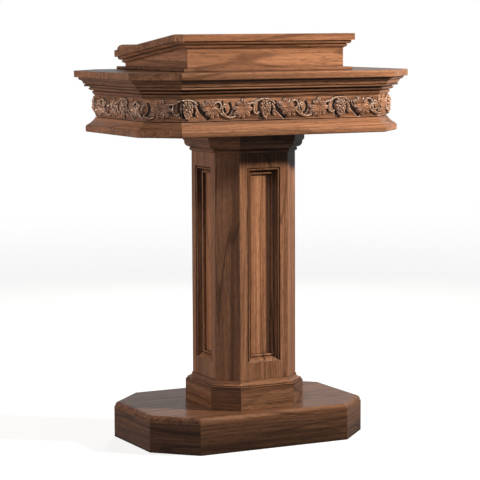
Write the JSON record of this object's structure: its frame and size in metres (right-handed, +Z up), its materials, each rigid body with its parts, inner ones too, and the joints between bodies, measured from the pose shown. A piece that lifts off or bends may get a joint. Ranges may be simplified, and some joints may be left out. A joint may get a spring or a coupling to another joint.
{
  "type": "pulpit lectern stand",
  "caption": "Free-standing octagonal wooden pulpit with a panelled column, a carved frieze, an open book shelf and a sloping reading desk.",
  "frame": {"origin": "on the floor, below the middle of the main top board, which is the middle of the bounding box's base", "axes": "+Z up, -Y towards the congregation, +Y towards the reader, +X to the congregation's right when facing the stand"},
  "size_m": [0.8776, 0.6054, 1.168],
  "materials": {
    "stained_oak": "medium brown stain under a satin lacquer",
    "carved_oak": "carved grapevine, medium brown stain under a satin lacquer",
    "inner_oak": "raw wood, unstained",
    "zinc_steel": "zinc plated"
  },
  "bodies": {
    "root": {"base_cleats": "inner_oak", "base_skirt_back": "stained_oak", "base_skirt_corners": "stained_oak", "base_skirt_front": "stained_oak", "base_skirt_left": "stained_oak", "base_skirt_right": "stained_oak", "base_top_board": "stained_oak", "bed_moulding": "stained_oak", "board_screws": "zinc_steel", "book_stop": "stained_oak", "cap_moulding": "stained_oak", "case_back_frame": "stained_oak", "case_bottom_board": "stained_oak", "case_cleats": "inner_oak", "case_wall_corners": "stained_oak", "case_wall_front": "stained_oak", "case_wall_left": "stained_oak", "case_wall_right": "stained_oak", "column_blocks": "inner_oak", "column_frame_back": "stained_oak", "column_frame_front": "stained_oak", "column_frame_left": "stained_oak", "column_frame_right": "stained_oak", "column_panel_back": "stained_oak", "column_panel_front": "stained_oak", "column_panel_left": "stained_oak", "column_panel_right": "stained_oak", "column_screws": "zinc_steel", "column_stave_back_left": "stained_oak", "column_stave_back_right": "stained_oak", "column_stave_front_left": "stained_oak", "column_stave_front_right": "stained_oak", "cove_moulding": "stained_oak", "crown_moulding": "stained_oak", "desk_cap_strip": "stained_oak", "desk_cleats": "inner_oak", "desk_moulding_back": "stained_oak", "desk_moulding_front": "stained_oak", "desk_moulding_left": "stained_oak", "desk_moulding_right": "stained_oak", "desk_panel_back": "stained_oak", "desk_panel_front": "stained_oak", "desk_panel_left": "stained_oak", "desk_panel_right": "stained_oak", "desk_plate": "stained_oak", "frieze_back": "carved_oak", "frieze_corners": "carved_oak", "frieze_front": "carved_oak", "frieze_left": "carved_oak", "frieze_right": "carved_oak", "main_top_board": "stained_oak", "panel_moulding_back": "stained_oak", "panel_moulding_front": "stained_oak", "panel_moulding_left": "stained_oak", "panel_moulding_right": "stained_oak", "plinth_boards": "stained_oak", "plinth_corners": "stained_oak", "plinth_moulding": "stained_oak", "reading_board": "stained_oak"}
  },
  "joints": []
}
